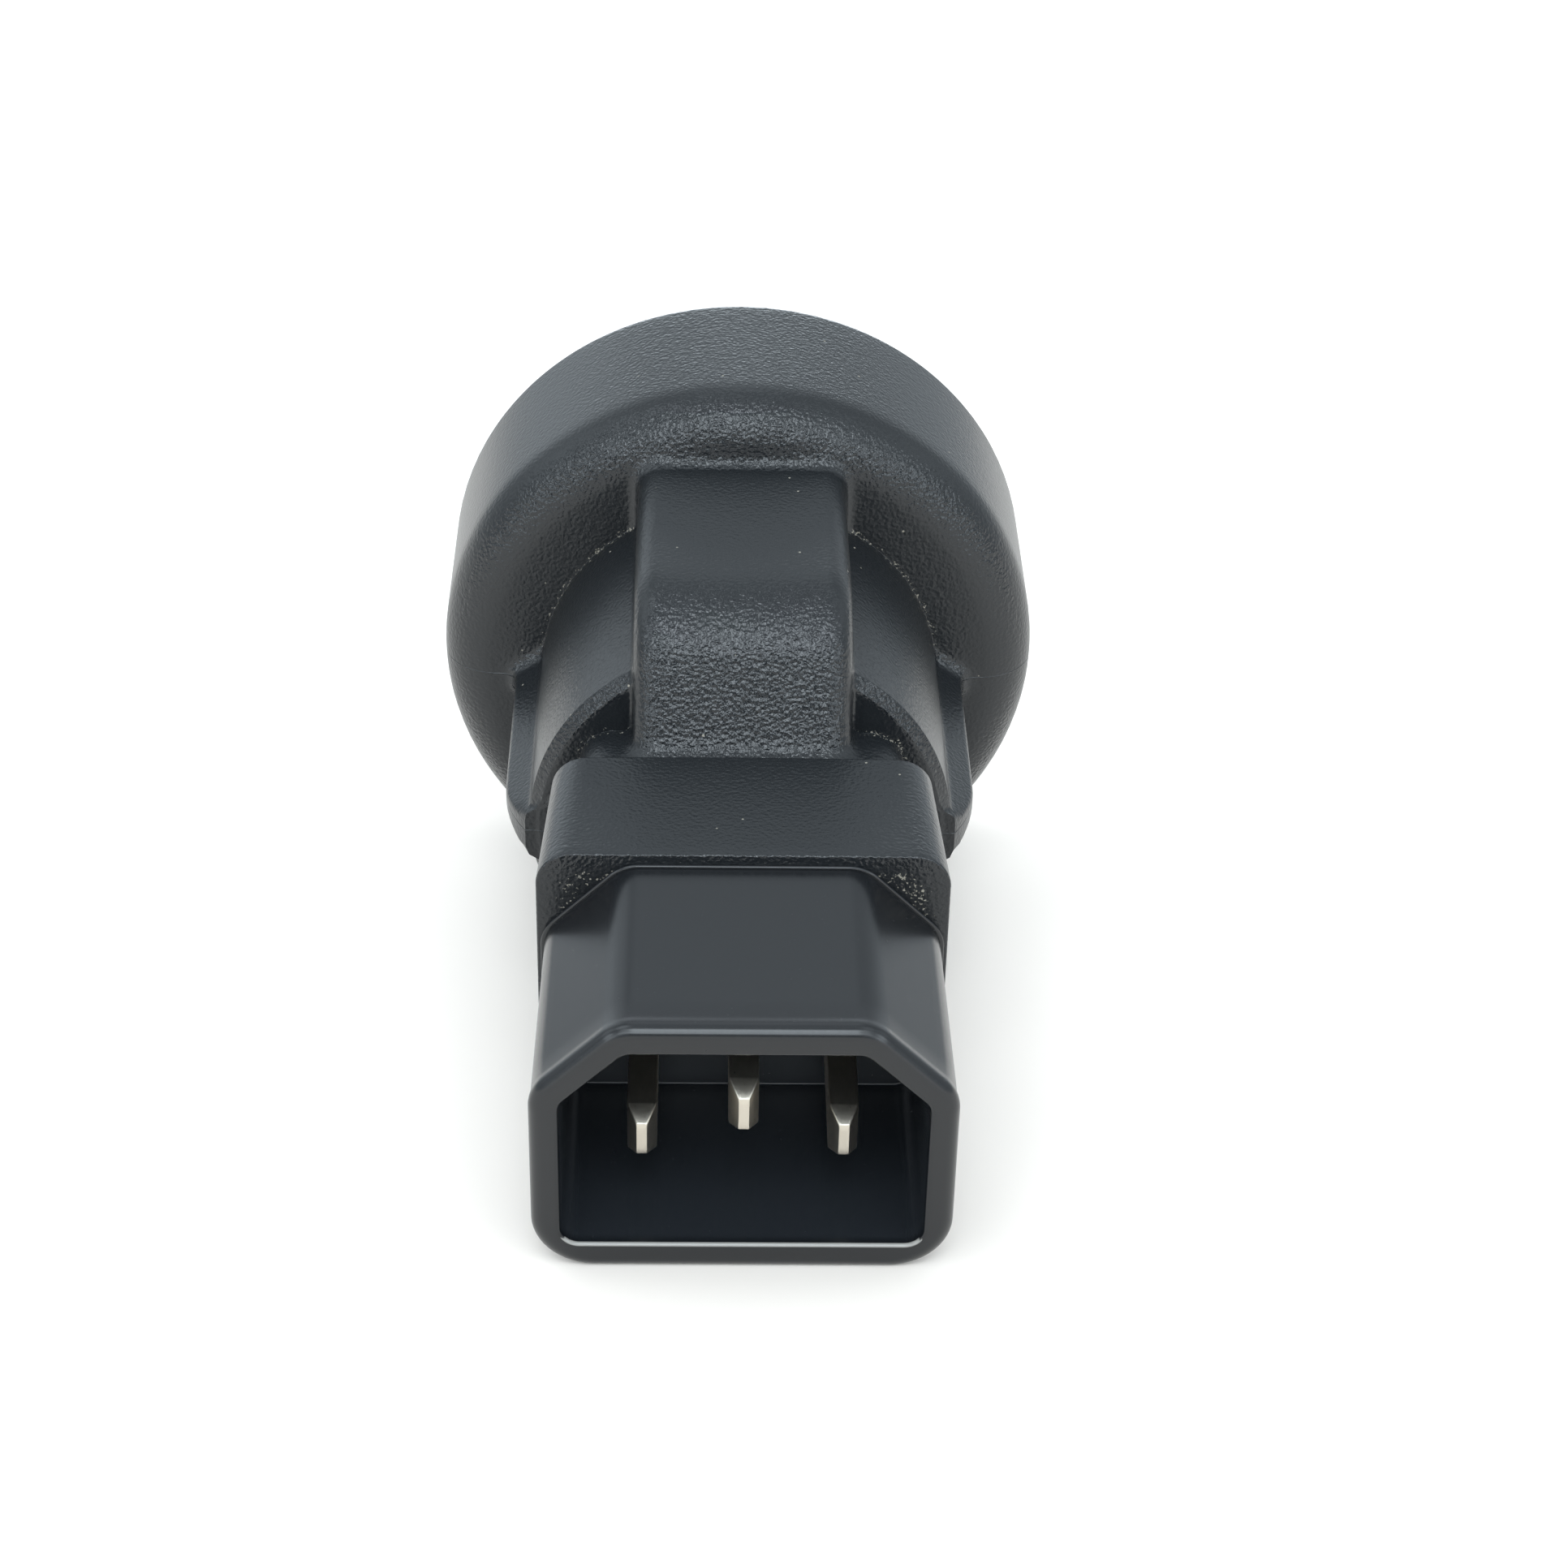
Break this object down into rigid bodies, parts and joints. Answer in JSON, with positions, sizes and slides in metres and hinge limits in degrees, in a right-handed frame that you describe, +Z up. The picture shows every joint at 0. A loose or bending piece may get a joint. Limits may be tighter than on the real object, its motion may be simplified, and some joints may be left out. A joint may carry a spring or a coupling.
{
  "type": "power plug adapter",
  "caption": "Moulded mains adapter with a C14 inlet plug at one end and a round recessed earthed socket at the other, in black grained plastic.",
  "frame": {"origin": "middle of the adapter's footprint on the surface it lies on", "axes": "+Z up, +Y towards the socket end, +X to the right seen from the plug end; the adapter's own axis rises 12.28 degrees towards +Y"},
  "size_m": [0.049, 0.0846, 0.0509],
  "materials": {
    "soft_pvc": "fine spark-eroded grain, dull sheen",
    "hard_black_plastic": "smooth satin moulding",
    "nickel_plate": "bright nickel plate on brass, dulled",
    "spring_brass": "plain strip",
    "copper": "bare stranded copper, drawn as one core",
    "brown_insulation": "extruded sleeve",
    "blue_insulation": "extruded sleeve",
    "green_insulation": "extruded sleeve"
  },
  "bodies": {
    "root": {"overmould_body": "soft_pvc", "inlet_shroud": "hard_black_plastic", "socket_insert": "hard_black_plastic", "chamber_cover": "hard_black_plastic", "line_pin": "nickel_plate", "neutral_pin": "nickel_plate", "earth_pin": "nickel_plate", "earth_clip": "spring_brass", "line_contact": "spring_brass", "neutral_contact": "spring_brass", "line_conductor": "copper", "neutral_conductor": "copper", "earth_conductor": "copper", "line_insulation": "brown_insulation", "neutral_insulation": "blue_insulation", "earth_insulation": "green_insulation"}
  },
  "joints": []
}
